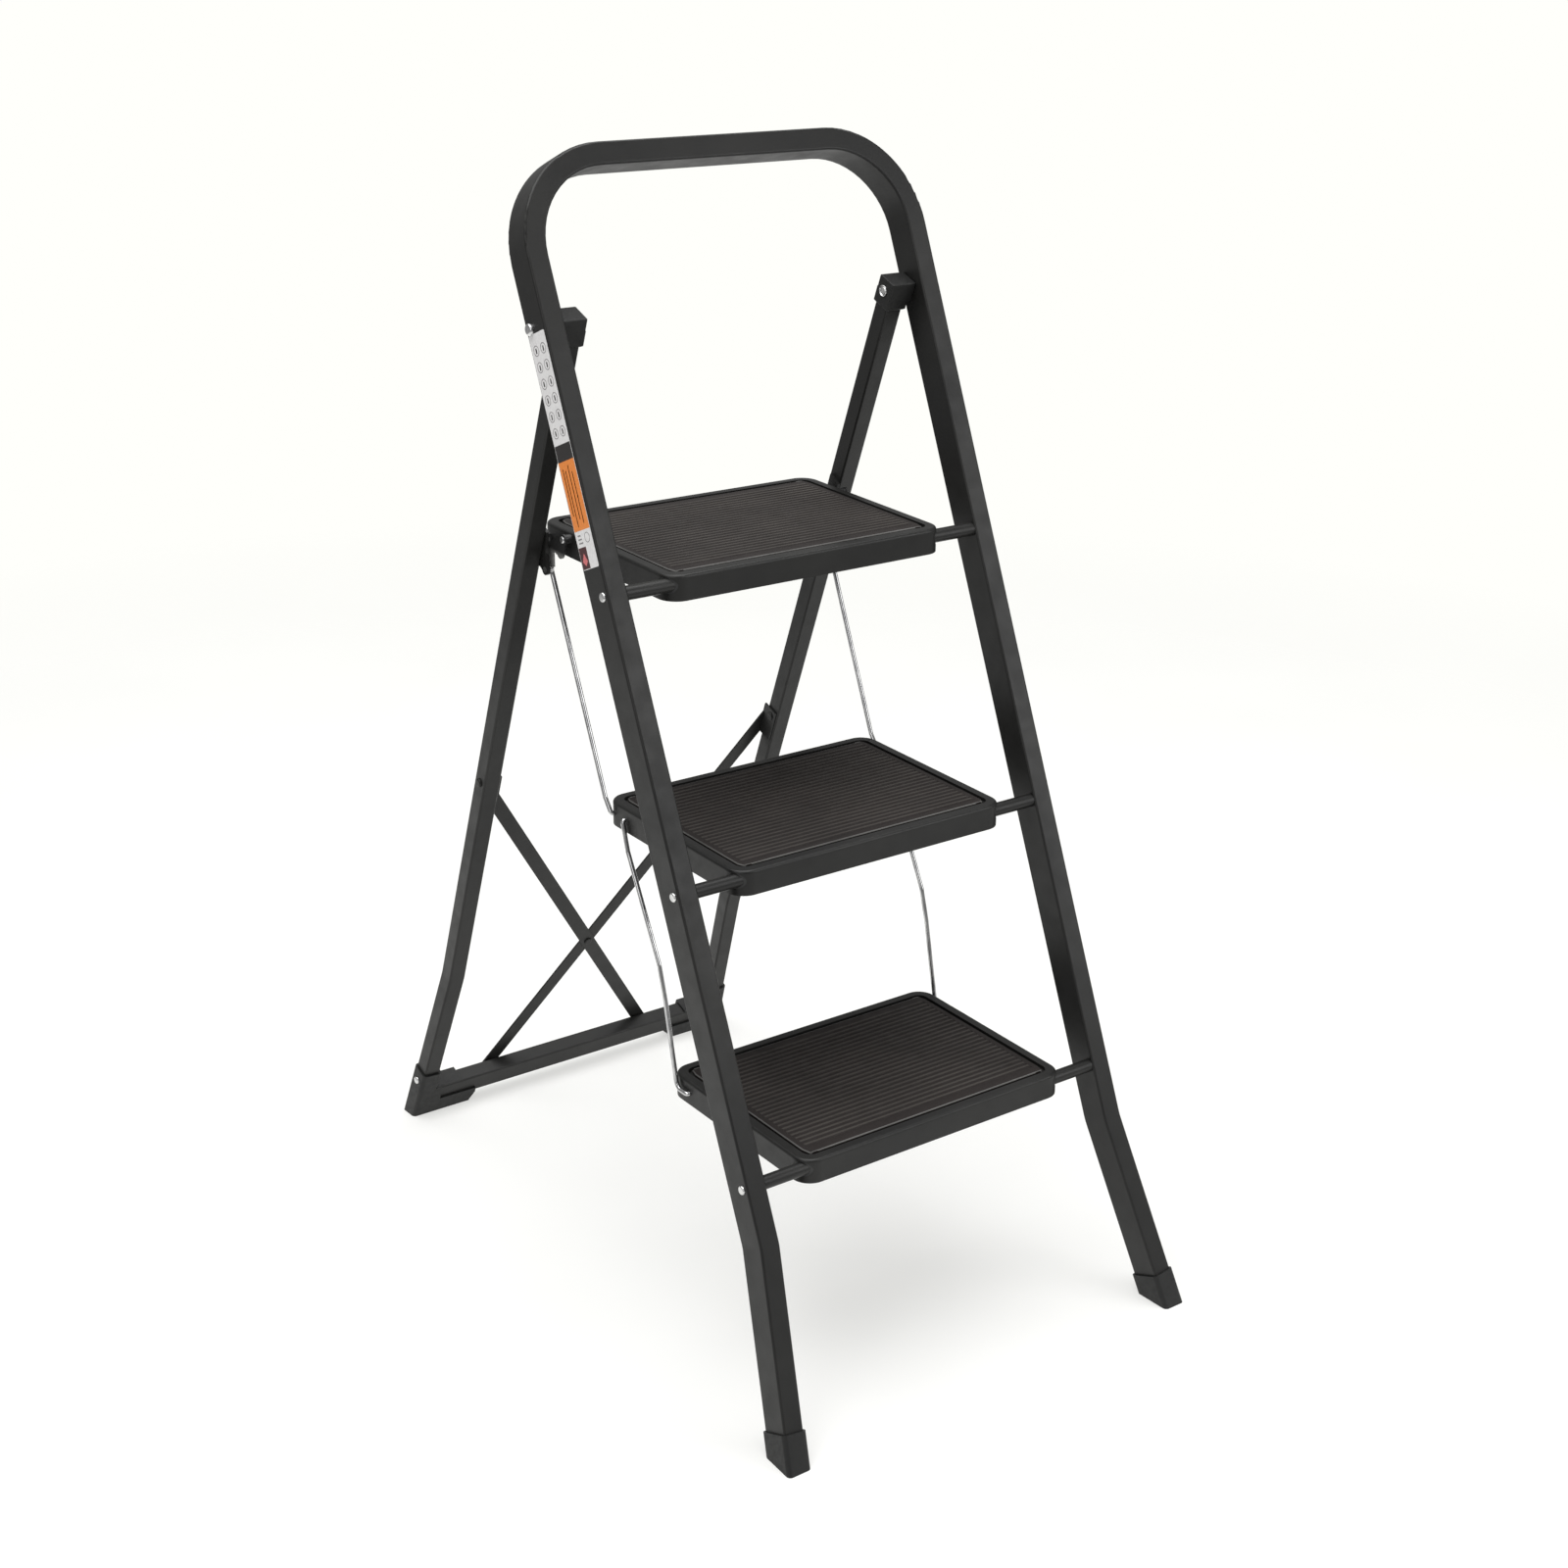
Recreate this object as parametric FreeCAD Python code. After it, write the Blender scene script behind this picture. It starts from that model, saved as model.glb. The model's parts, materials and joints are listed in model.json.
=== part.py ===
import FreeCAD, Part
import math
import os

# Three-step folding step stool in steel tube, standing open on its four feet.
# Millimetres.  +X is to the right, +Y runs from the climbing side to the back,
# +Z is up.  The origin is on the floor, under the middle of the whole object.
#
# Two tilted working frames are used.  In the RAIL frame, x is across, y runs
# square out of the back of the front frame and z climbs along the rails.  In
# the LEG frame the origin is the hinge axis, y runs square out of the back of
# the rear frame and z climbs along the rear legs, so the legs hang at -z.

Vec = FreeCAD.Vector
X_AXIS = Vec(1, 0, 0)
Y_AXIS = Vec(0, 1, 0)
Z_AXIS = Vec(0, 0, 1)

# ---- driving dimensions ------------------------------------------------------
FRONT_LEAN = 23.5            # degrees, rails against the vertical
REAR_LEAN = 20.65            # degrees, rear legs against the vertical

RAIL_WIDTH = 20.0            # front tube, across
RAIL_DEPTH = 32.0            # front tube, front to back
RAIL_WALL = 1.5
RAIL_EDGE = 2.0              # outside corner radius of the tube
FRAME_HALF = 209.5           # outside half width between hoop and splay
FRAME_FOOT_HALF = 233.0      # outside half width at the floor
SPLAY_AT = 197.0             # along the rail, where the feet splay outward
SPLAY_RADIUS = 60.0
HOOP_TOP = 1147.5            # along the rail, outside of the hand rail
HOOP_RADIUS = 81.0           # corner radius on the tube's centre line

LEG_WIDTH = 18.0             # rear tube, across
LEG_DEPTH = 18.0
LEG_WALL = 1.2
LEG_EDGE = 2.0
LEG_HALF = 182.0             # outside half width of the rear legs
LEG_FOOT_HALF = 197.0
LEG_SPLAY_AT = 770.0         # down the leg from the hinge
LEG_SPLAY_RADIUS = 90.0

HINGE_ALONG = 1001.5         # hinge axis along the rail
HINGE_BACK = 24.0            # hinge axis behind the rail's front face
HINGE_RADIUS = 4.0
NUT_RADIUS = 5.3
CAP_FRONT = -11.2            # hinge cap from the hinge axis, square to the leg
CAP_BACK = 10.0
CAP_TOP = 11.7
CAP_SKIRT = -15.9
CAP_BOSS = -7.6              # underside of the boss that reaches the rail
CAP_INNER_WALL = 1.8

LABEL_ACROSS = (2.2, 29.8)   # label on the left rail's outside, front to back
LABEL_ALONG = (797.0, 997.0)

PIVOT_ALONG = (771.0, 511.0, 251.0)      # step pivots along the rail
STEP_NAMES = ("top", "middle", "bottom")
PIVOT_BACK = 7.5
PIVOT_RADIUS = 6.35
PIVOT_BORE = 3.0
BUSH_WALL = 1.5
RAIL_RIVET_LENGTH = 45.0     # under the head, down the middle of the pivot rod
RUN_CLEARANCE = 0.05         # radial clearance of a turning fit

STEP_HALF = 150.0
STEP_DEPTH = 216.4
STEP_FRONT = -9.5            # front of the pan from its pivot axis
STEP_TOP = 10.0              # rim of the pan above its pivot axis
STEP_SKIRT = 23.5
STEP_CORNER = 18.0
STEP_ROLL = 3.0
SHEET = 1.5
MAT_RIM = 10.0               # pan rim left around the mat
MAT_CORNER = 9.0
MAT_RECESS = 3.0
MAT_THICK = 3.0
MAT_GAP = 1.8

LINK_RADIUS = 2.2            # connecting wires
LINK_X = 153.1
LINK_END_X = 142.0
LINK_HEAD_RADIUS = 3.2       # flattened ends of the wires, inside the pans
LINK_END_BEND = 3.0
LINK_BEND = 8.0
UPPER_HOLE = (192.0, -1.5)   # wire holes from the step's pivot axis, y and z
LOWER_HOLE = (173.0, -1.5)
# Bends of the wires, as (distance down the rail from the upper hole, set back).
UPPER_BENDS = ((16.0, 4.0), (244.0, 4.0))
LOWER_BENDS = ((29.6, 3.3), (136.6, -5.2), (169.6, -1.2), (253.6, 15.3))
OPEN_PIVOT_CLEARANCE = 0.3

PLATE = 2.0                  # latch hooks and brace straps
RIVET_RADIUS = 3.0
SMALL_RIVET_RADIUS = 2.5
# Rivet and bolt heads, as (radius, height).
RAIL_RIVET_HEAD = (4.3, 2.1)
HINGE_BOLT_HEAD = (5.3, 3.4)
BRACE_OUTER_HEAD = (4.4, 2.0)
BRACE_INNER_HEAD = (4.4, 1.4)
BRACE_BAR_HEAD = (4.5, 2.0)
BRACE_CROSS_HEAD = (4.2, 1.8)
HOOK_OUTER_HEAD = (3.2, 1.4)
HOOK_INNER_HEAD = (3.6, 1.4)
PIN_RADIUS = 3.0
PIN_AT = (176.2, -28.3)      # latch pins from the top step's pivot axis
PIN_END_X = 155.7
HOOK_X = 155.8               # inner face of the latch hooks
HOOK_RIVET_AT = (153.5, 4.2)
HOOK_FOOT = (171.6, 181.1)   # front and back of the hook's foot
HOOK_FOOT_BOTTOM = -26.0
HOOK_ARCH_AT = (168.15, -14.55)
HOOK_ARCH_RADIUS = 3.45
HOOK_LOBE_AT = (159.1, -9.1)
HOOK_LOBE_RADIUS = 5.6
HOOK_WEB_BOTTOM = -12.0
BRACKET_PLATE = 3.0
BRACKET_EYE = 5.0

BAR_TOP = 933.5              # crossbar, down the leg from the hinge
BAR_HEIGHT = 22.0
BAR_HALF = 174.8
STRAP_WIDTH = 15.0
STRAP_LEG_AT = {-1: 528.0, 1: 518.0}     # brace meets its leg, down from the hinge
STRAP_BAR_X = {-1: 96.5, 1: -101.0}      # brace meets the crossbar
STRAP_RIVET_AT = 505.0       # brace rivets in the legs, down from the hinge

CAP_WALL = 2.2               # plastic around a tube end
FRONT_FOOT_HEIGHT = 35.0
REAR_FOOT_TOP = 908.0        # down the leg from the hinge
FOOT_BOLT_AT = 921.0         # down the leg from the hinge
FOOT_BOLT_HEAD = 4.2
FOOT_SLEEVE_X = 144.0        # end of the foot's sleeve over the crossbar
FOOT_PANEL_X = 169.5         # end of its full-height front wall
FOOT_LIP_X = 126.0           # end of its lip under the crossbar
FOOT_LIP = 6.0               # how far the lip laps up the crossbar
FLOOR_PAD = 5.0              # plastic under a tube end
SLACK = 0.3                  # between parts that turn past each other


# ---- frames ------------------------------------------------------------------
def tilt(angle, origin=Vec(0, 0, 0)):
    return FreeCAD.Placement(origin, FreeCAD.Rotation(X_AXIS, angle))


def middle_of_stance():
    """Half way from the front caps' front edge to the rear feet's back edge."""
    hinge = tilt(-FRONT_LEAN).multVec(Vec(0, HINGE_BACK, HINGE_ALONG))
    rear = math.radians(REAR_LEAN)
    back = hinge.y + hinge.z * math.tan(rear) + (LEG_DEPTH / 2 + CAP_WALL) / math.cos(rear)
    front = -CAP_WALL / math.cos(math.radians(FRONT_LEAN))
    return (front + back) / 2


RAIL = tilt(-FRONT_LEAN, Vec(0, -middle_of_stance(), 0))
HINGE = RAIL.multVec(Vec(0, HINGE_BACK, HINGE_ALONG))
LEG = tilt(REAR_LEAN, HINGE)
PIVOTS = [RAIL.multVec(Vec(0, PIVOT_BACK, s)) for s in PIVOT_ALONG]


def placed(shape, placement):
    moved = shape.copy()
    moved.transformShape(placement.toMatrix())
    return moved


def save(name, shape):
    """Write one node, one or more closed solids."""
    solids = shape.Solids
    if not solids or not all(s.isValid() and s.Volume > 0 for s in solids):
        raise ValueError("bad solid in " + name)
    result = solids[0] if len(solids) == 1 else Part.makeCompound(solids)
    result.exportStep("parts/" + name + ".step")
    print("%-24s %d solid(s) %10.1f mm3" % (name, len(solids), shape.Volume))


# ---- shape helpers -----------------------------------------------------------
def box(x0, x1, y0, y1, z0, z1):
    return Part.makeBox(x1 - x0, y1 - y0, z1 - z0, Vec(x0, y0, z0))


def rod(radius, start, end):
    line = end - start
    return Part.makeCylinder(radius, line.Length, start, line)


def mirrored(shape):
    return shape.mirror(Vec(0, 0, 0), X_AXIS)


def both_sides(shape):
    return Part.makeCompound([shape, mirrored(shape)])


def rounded_outline(x0, x1, y0, y1, radius, z):
    """Closed rounded rectangle lying level at height z."""
    corners = ((x1 - radius, y0 + radius, -90), (x1 - radius, y1 - radius, 0),
               (x0 + radius, y1 - radius, 90), (x0 + radius, y0 + radius, 180))
    edges = []
    starts = []
    for cx, cy, angle in corners:
        points = []
        for turn in (0, 45, 90):
            a = math.radians(angle + turn)
            points.append(Vec(cx + radius * math.cos(a), cy + radius * math.sin(a), z))
        edges.append(Part.Arc(*points).toShape())
        starts.append((points[0], points[2]))
    for i in range(4):
        edges.append(Part.LineSegment(starts[i][1], starts[(i + 1) % 4][0]).toShape())
    return Part.Wire(Part.__sortEdges__(edges))


def rounded_slab(x0, x1, y0, y1, radius, z0, z1):
    face = Part.Face(rounded_outline(x0, x1, y0, y1, radius, z0))
    return face.extrude(Vec(0, 0, z1 - z0))


def bent_path(points, radii):
    """Straight runs joined by tangent arcs; radii belong to the inner points."""
    edges = []
    start = points[0]
    for i, radius in enumerate(radii):
        corner = points[i + 1]
        before = (corner - points[i]).normalize()
        after = (points[i + 2] - corner).normalize()
        turn = before.getAngle(after)
        setback = radius * math.tan(turn / 2)
        arc_start = corner - before * setback
        arc_end = corner + after * setback
        inward = (after - before).normalize()
        centre = corner + inward * (radius / math.cos(turn / 2))
        arc_mid = centre - inward * radius
        edges.append(Part.LineSegment(start, arc_start).toShape())
        edges.append(Part.Arc(arc_start, arc_mid, arc_end).toShape())
        start = arc_end
    edges.append(Part.LineSegment(start, points[-1]).toShape())
    return Part.Wire(edges)


def rounded_section(width, depth, radius, centre, along):
    """Tube section: width across X, depth across Y, square to the direction along."""
    flat = rounded_outline(-width / 2, width / 2, -depth / 2, depth / 2, radius, 0)
    turn = FreeCAD.Rotation(Z_AXIS, along)
    return placed(flat, FreeCAD.Placement(centre, turn))


def swept(path, section):
    return path.makePipeShell([section], True, False)


def box_tube(path, width, depth, edge, wall):
    """Rectangular tube along a path, with its solid outer form."""
    start = path.Vertexes[0].Point
    along = path.Edges[0].tangentAt(path.Edges[0].FirstParameter)
    outer = swept(path, rounded_section(width, depth, edge, start, along))
    inner_edge = max(edge - wall, 0.5)
    bore = swept(path, rounded_section(width - 2 * wall, depth - 2 * wall, inner_edge, start, along))
    return outer.cut(bore), outer


def above(shape, height):
    """The part of a shape that lies above a level plane."""
    return shape.common(box(-400, 400, -700, 700, height, 1400))


def dome(radius, height, start, direction):
    """Round-topped rivet or bolt head standing on start."""
    head = Part.makeCylinder(radius, height, start, direction)
    top = [e for e in head.Edges
           if abs((e.CenterOfMass - start).dot(direction) - height) < 0.01 and e.Length > radius]
    return head.makeFillet(0.75 * height, top)


# ---- front frame -------------------------------------------------------------
def rail_foot_direction():
    half = FRAME_HALF - RAIL_WIDTH / 2
    foot = FRAME_FOOT_HALF - RAIL_WIDTH / 2
    return Vec(foot - half, 0, -SPLAY_AT).normalize()


def front_hoop():
    """One tube bent into the hand rail and both rails, in the RAIL frame."""
    half = FRAME_HALF - RAIL_WIDTH / 2
    mid = RAIL_DEPTH / 2
    top = HOOP_TOP - RAIL_WIDTH / 2
    down = rail_foot_direction()
    end = Vec(half, mid, SPLAY_AT) + down * (SPLAY_AT + 25)
    right = [end, Vec(half, mid, SPLAY_AT), Vec(half, mid, top)]
    left = [Vec(-p.x, p.y, p.z) for p in reversed(right)]
    radii = [SPLAY_RADIUS, HOOP_RADIUS, HOOP_RADIUS, SPLAY_RADIUS]
    return box_tube(bent_path(right + left, radii), RAIL_WIDTH, RAIL_DEPTH, RAIL_EDGE, RAIL_WALL)


def rail_holes():
    """Bores for the step pivots and the hinge bolts, in the RAIL frame."""
    span = FRAME_HALF + 1
    holes = [rod(HINGE_RADIUS, Vec(-span, HINGE_BACK, HINGE_ALONG), Vec(span, HINGE_BACK, HINGE_ALONG))]
    for along in PIVOT_ALONG:
        holes.append(rod(PIVOT_BORE, Vec(-span, PIVOT_BACK, along), Vec(span, PIVOT_BACK, along)))
    return Part.makeCompound(holes)


def front_foot(rail_form):
    """Plastic cap on the right rail's end, cut level at the floor."""
    down = rail_foot_direction()
    half = FRAME_HALF - RAIL_WIDTH / 2
    bend = Vec(half, RAIL_DEPTH / 2, SPLAY_AT)
    start = bend + down * ((SPLAY_AT - FRONT_FOOT_HEIGHT) / abs(down.z))
    section = rounded_section(RAIL_WIDTH + 2 * CAP_WALL, RAIL_DEPTH + 2 * CAP_WALL,
                              RAIL_EDGE + CAP_WALL, start, down)
    body = swept(Part.Wire(Part.LineSegment(start, start + down * 80).toShape()), section)
    body = above(placed(body, RAIL), 0)
    return body.cut(above(placed(rail_form, RAIL), FLOOR_PAD))


def pivot_rod(index):
    """Cross rod that carries one step, bored for the rivets that hold it."""
    reach = FRAME_HALF - RAIL_WIDTH
    centre = PIVOTS[index]
    ends = (centre - X_AXIS * reach, centre + X_AXIS * reach)
    return rod(PIVOT_RADIUS, *ends).cut(rod(PIVOT_BORE, *ends))


def rail_rivets():
    rivets = []
    for centre in PIVOTS:
        seat = centre + X_AXIS * FRAME_HALF
        shank = rod(PIVOT_BORE, seat - X_AXIS * RAIL_RIVET_LENGTH, seat)
        rivets.append(shank.fuse(dome(*RAIL_RIVET_HEAD, seat, X_AXIS)).removeSplitter())
    return Part.makeCompound([both_sides(r) for r in rivets])


def leg_inner_x():
    return LEG_HALF - LEG_WIDTH


def hinge_bolt():
    """Bolt from the rail through the boss and the leg, with a chamfered end."""
    seat = HINGE + X_AXIS * FRAME_HALF
    end_x = leg_inner_x() - 2.6
    shank = rod(HINGE_RADIUS, HINGE + X_AXIS * end_x, seat)
    end = [e for e in shank.Edges if abs(e.CenterOfMass.x - end_x) < 0.01 and e.Length > HINGE_RADIUS]
    return shank.makeChamfer(0.9, end).fuse(dome(*HINGE_BOLT_HEAD, seat, X_AXIS)).removeSplitter()


def hinge_nut():
    """Round nut let into the hinge cap, clear of the leg's inner face."""
    inner_x = leg_inner_x() - 3.0
    thick = 3.0 - SLACK
    nut = Part.makeCylinder(NUT_RADIUS, thick, HINGE + X_AXIS * inner_x, X_AXIS)
    rim = [e for e in nut.Edges if abs(e.CenterOfMass.x - inner_x) < 0.01 and e.Length > NUT_RADIUS]
    nut = nut.makeFillet(0.6, rim)
    countersink = Part.makeCone(HINGE_RADIUS + 0.7, HINGE_RADIUS, 0.9, HINGE + X_AXIS * inner_x, X_AXIS)
    bore = rod(HINGE_RADIUS, HINGE + X_AXIS * (inner_x - 1), HINGE + X_AXIS * leg_inner_x())
    return nut.cut([countersink, bore])


def rail_label():
    """Thin adhesive label on the outside of the left rail."""
    thick = 0.3
    plate = box(-FRAME_HALF - thick, -FRAME_HALF, *LABEL_ACROSS, *LABEL_ALONG)
    return placed(plate, RAIL)


# ---- rear frame --------------------------------------------------------------
def leg_foot_direction():
    run = HINGE.z / math.cos(math.radians(REAR_LEAN)) - LEG_SPLAY_AT
    return Vec(LEG_FOOT_HALF - LEG_HALF, 0, -run).normalize()


def rear_leg():
    """Right rear leg in the LEG frame, with its solid outer form."""
    half = LEG_HALF - LEG_WIDTH / 2
    bend = Vec(half, 0, -LEG_SPLAY_AT)
    end = bend + leg_foot_direction() * 240
    path = bent_path([Vec(half, 0, 8.5), bend, end], [LEG_SPLAY_RADIUS])
    return box_tube(path, LEG_WIDTH, LEG_DEPTH, LEG_EDGE, LEG_WALL)


def leg_bores():
    """Hinge, brace and foot bolt bores through the right leg, in the LEG frame."""
    return Part.makeCompound([
        rod(HINGE_RADIUS + RUN_CLEARANCE, Vec(150, 0, 0), Vec(200, 0, 0)),
        rod(RIVET_RADIUS, Vec(150, 0, -STRAP_RIVET_AT), Vec(200, 0, -STRAP_RIVET_AT)),
        rod(RIVET_RADIUS, Vec(165, 0, -FOOT_BOLT_AT), Vec(210, 0, -FOOT_BOLT_AT)),
    ])


def hinge_cap(leg_form):
    """Plastic cap over the leg's end, reaching out to the rail as a spacer."""
    inner = leg_inner_x() - CAP_INNER_WALL
    outer = FRAME_HALF - RAIL_WIDTH - SLACK
    head = box(inner, outer, CAP_FRONT, CAP_BACK, CAP_BOSS, CAP_TOP)
    head = head.makeFillet(1.2, head.Edges)
    skirt = box(inner, LEG_HALF + 2.0, CAP_FRONT, CAP_BACK, CAP_SKIRT, 0)
    skirt = skirt.makeChamfer(1.4, [e for e in skirt.Edges if abs(e.CenterOfMass.z - CAP_SKIRT) < 0.1])
    nut_seat = rod(NUT_RADIUS + SLACK, Vec(inner - 1, 0, 0), Vec(leg_inner_x() + 0.5, 0, 0))
    bore = rod(HINGE_RADIUS + RUN_CLEARANCE, Vec(150, 0, 0), Vec(200, 0, 0))
    return head.fuse(skirt).removeSplitter().cut([leg_form, nut_seat, bore])


def rear_crossbar():
    """Flat tube that ties the feet of the rear legs, in the LEG frame."""
    mid = bar_middle()
    path = Part.Wire(Part.LineSegment(Vec(-BAR_HALF, 0, mid), Vec(BAR_HALF, 0, mid)).toShape())
    outer = swept(path, bar_section(BAR_HEIGHT, LEG_DEPTH, LEG_EDGE, mid))
    bore = swept(path, bar_section(BAR_HEIGHT - 2 * LEG_WALL, LEG_DEPTH - 2 * LEG_WALL, 0.8, mid))
    return outer.cut(bore), outer


def bar_section(height, depth, radius, mid):
    flat = rounded_outline(-height / 2, height / 2, -depth / 2, depth / 2, radius, 0)
    stand = FreeCAD.Rotation(Y_AXIS, 90)
    return placed(flat, FreeCAD.Placement(Vec(-BAR_HALF, 0, mid), stand))


def rear_foot(leg_form, bar_form):
    """Corner foot that takes the leg from above and the bar from the side."""
    down = leg_foot_direction()
    bend = Vec(LEG_HALF - LEG_WIDTH / 2, 0, -LEG_SPLAY_AT)
    start = bend + down * ((REAR_FOOT_TOP - LEG_SPLAY_AT) / abs(down.z))
    section = rounded_section(LEG_WIDTH + 2 * CAP_WALL, LEG_DEPTH + 2 * CAP_WALL,
                              LEG_EDGE + CAP_WALL, start, down)
    socket = swept(Part.Wire(Part.LineSegment(start, start + down * 120).toShape()), section)
    face = LEG_DEPTH / 2 + CAP_WALL
    outer_x = LEG_HALF + 5
    below = -1010.0
    roof = -BAR_TOP + CAP_WALL
    lip_top = -(BAR_TOP + BAR_HEIGHT - FOOT_LIP)
    lip = box(FOOT_LIP_X, outer_x, -face, face, below, lip_top)
    front_wall = box(FOOT_PANEL_X, outer_x, -face, 0, below, roof)
    back_wall = box(FOOT_SLEEVE_X, outer_x, 0, face, below, roof)
    sleeve = box(FOOT_SLEEVE_X, outer_x, -LEG_DEPTH / 2, face, -BAR_TOP, roof)
    body = socket.fuse([lip, front_wall, back_wall, sleeve]).removeSplitter()
    body = above(placed(body.cut([lip_end_chamfer(), bar_form]), LEG), 0)
    tube_end = above(placed(leg_form, LEG), FLOOR_PAD)
    seat = foot_bolt_seat()
    bore = rod(RIVET_RADIUS, Vec(165, 0, seat.z), Vec(210, 0, seat.z))
    spot_face = rod(FOOT_BOLT_HEAD + SLACK, seat, seat + X_AXIS * 6)
    return body.cut(tube_end).cut(placed(bore.fuse(spot_face), LEG))


def lip_end_chamfer():
    """Wedge that slants the lip's end under the crossbar, in the LEG frame."""
    bottom = -(BAR_TOP + BAR_HEIGHT)
    outline = [Vec(FOOT_LIP_X - 2, -30, bottom), Vec(FOOT_LIP_X, -30, bottom),
               Vec(FOOT_LIP_X + 6, -30, bottom - 10), Vec(FOOT_LIP_X + 6, -30, bottom - 60),
               Vec(FOOT_LIP_X - 2, -30, bottom - 60)]
    return Part.Face(Part.makePolygon(outline + outline[:1])).extrude(Y_AXIS * 60)


def foot_bolt_seat():
    """Flat seat of the foot bolt's head, just under the foot's slanting side."""
    down = leg_foot_direction()
    face = LEG_HALF + (FOOT_BOLT_AT - LEG_SPLAY_AT) * down.x / abs(down.z) + CAP_WALL
    return Vec(face - 0.8, 0, -FOOT_BOLT_AT)


def foot_bolt():
    """Bolt through the foot and the leg, in the LEG frame."""
    seat = foot_bolt_seat()
    shank = rod(RIVET_RADIUS, Vec(seat.x - 20, 0, seat.z), seat)
    return shank.fuse(dome(FOOT_BOLT_HEAD, 2.4, seat, X_AXIS)).removeSplitter()


def strap_height(x, side):
    """Height of a brace's centre line at x; it climbs to the leg on its side."""
    leg_x = side * leg_inner_x()
    rise = (bar_middle() + STRAP_LEG_AT[side]) / (STRAP_BAR_X[side] - leg_x)
    return -STRAP_LEG_AT[side] + (x - leg_x) * rise


def bar_middle():
    return -(BAR_TOP + BAR_HEIGHT / 2)


def strap_crossing():
    """Where the two braces' centre lines cross, on the back of the frame."""
    slope = {side: strap_height(1, side) - strap_height(0, side) for side in (-1, 1)}
    x = (strap_height(0, 1) - strap_height(0, -1)) / (slope[-1] - slope[1])
    return Vec(x, LEG_DEPTH / 2, strap_height(x, 1))


def brace_strap(side, layer):
    """Flat strap from one leg down to the crossbar, with a tab on the leg."""
    inner = leg_inner_x()
    top_x = side * (inner + 12)
    foot_x = STRAP_BAR_X[side]
    back = LEG_DEPTH / 2 + layer * PLATE
    top = Vec(top_x, back, strap_height(top_x, side))
    foot = Vec(foot_x, back, bar_middle())
    along = (foot - top).normalize()
    across = along.cross(Y_AXIS) * (STRAP_WIDTH / 2)
    outline = [top + across, foot + across, foot - across, top - across, top + across]
    blade = Part.Face(Part.makePolygon(outline)).extrude(Y_AXIS * PLATE)
    blade = blade.fuse(rod(STRAP_WIDTH / 2, foot, foot + Y_AXIS * PLATE))
    blade = blade.common(box(-inner, inner, 0, 40, -1000, -450))
    tab_x = sorted((side * inner, side * (inner - PLATE)))
    half_cut = STRAP_WIDTH / 2 * along.Length / abs(along.x)
    tab = box(tab_x[0], tab_x[1], -7.0, back + PLATE, -STRAP_LEG_AT[side] - half_cut, -STRAP_RIVET_AT + 8)
    crossing = strap_crossing()
    crossing.y = back
    holes = [rod(RIVET_RADIUS, Vec(-200, 0, -STRAP_RIVET_AT), Vec(200, 0, -STRAP_RIVET_AT)),
             rod(SMALL_RIVET_RADIUS, foot, foot + Y_AXIS * PLATE),
             rod(SMALL_RIVET_RADIUS, crossing, crossing + Y_AXIS * PLATE)]
    return blade.fuse(tab).removeSplitter().cut(holes)


def brace_leg_rivet():
    inner = leg_inner_x() - PLATE
    height = -STRAP_RIVET_AT
    shank = rod(RIVET_RADIUS, Vec(inner, 0, height), Vec(LEG_HALF, 0, height))
    outside = dome(*BRACE_OUTER_HEAD, Vec(LEG_HALF, 0, height), X_AXIS)
    inside = dome(*BRACE_INNER_HEAD, Vec(inner, 0, height), X_AXIS * -1)
    return shank.fuse([outside, inside]).removeSplitter()


def brace_bar_rivet(side, layer):
    """Rivet that holds a strap to the back wall of the crossbar."""
    back = Vec(STRAP_BAR_X[side], LEG_DEPTH / 2, bar_middle())
    outer = back + Y_AXIS * (layer + 1) * PLATE
    shank = rod(SMALL_RIVET_RADIUS, back - Y_AXIS * 4, outer)
    rivet = shank.fuse(dome(*BRACE_BAR_HEAD, outer, Y_AXIS))
    if layer:
        rivet = rivet.fuse(Part.makeCylinder(6.5, layer * PLATE, back, Y_AXIS))
    return rivet.removeSplitter()


def brace_centre_rivet():
    front = strap_crossing()
    outer = front + Y_AXIS * 2 * PLATE
    heads = [dome(*BRACE_CROSS_HEAD, outer, Y_AXIS), dome(*BRACE_CROSS_HEAD, front, Y_AXIS * -1)]
    return rod(SMALL_RIVET_RADIUS, front, outer).fuse(heads).removeSplitter()


def pin_in_leg_frame():
    at = PIVOTS[0] + Vec(0, PIN_AT[0], PIN_AT[1])
    return LEG.inverse().multVec(at)


def latch_bracket():
    """Gusset on the inside of the right leg that carries the latch pin."""
    at = pin_in_leg_frame()
    back = 5.0
    face = -LEG_DEPTH / 2
    outline = [Vec(0, back, at.z + 38), Vec(0, face, at.z + 35), Vec(0, at.y + 3.8, at.z + 15),
               Vec(0, at.y - 4.7, at.z + 2), Vec(0, at.y - 2.5, at.z - 4.3), Vec(0, face, at.z - 2),
               Vec(0, back, at.z - 8)]
    plate = Part.Face(Part.makePolygon(outline + outline[:1])).extrude(X_AXIS * BRACKET_PLATE)
    eye = Part.makeCylinder(BRACKET_EYE, BRACKET_PLATE, Vec(0, at.y, at.z), X_AXIS)
    plate = plate.fuse(eye).removeSplitter()
    plate.translate(X_AXIS * (leg_inner_x() - BRACKET_PLATE))
    return plate.cut(rod(PIN_RADIUS, Vec(100, at.y, at.z), Vec(200, at.y, at.z)))


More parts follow.
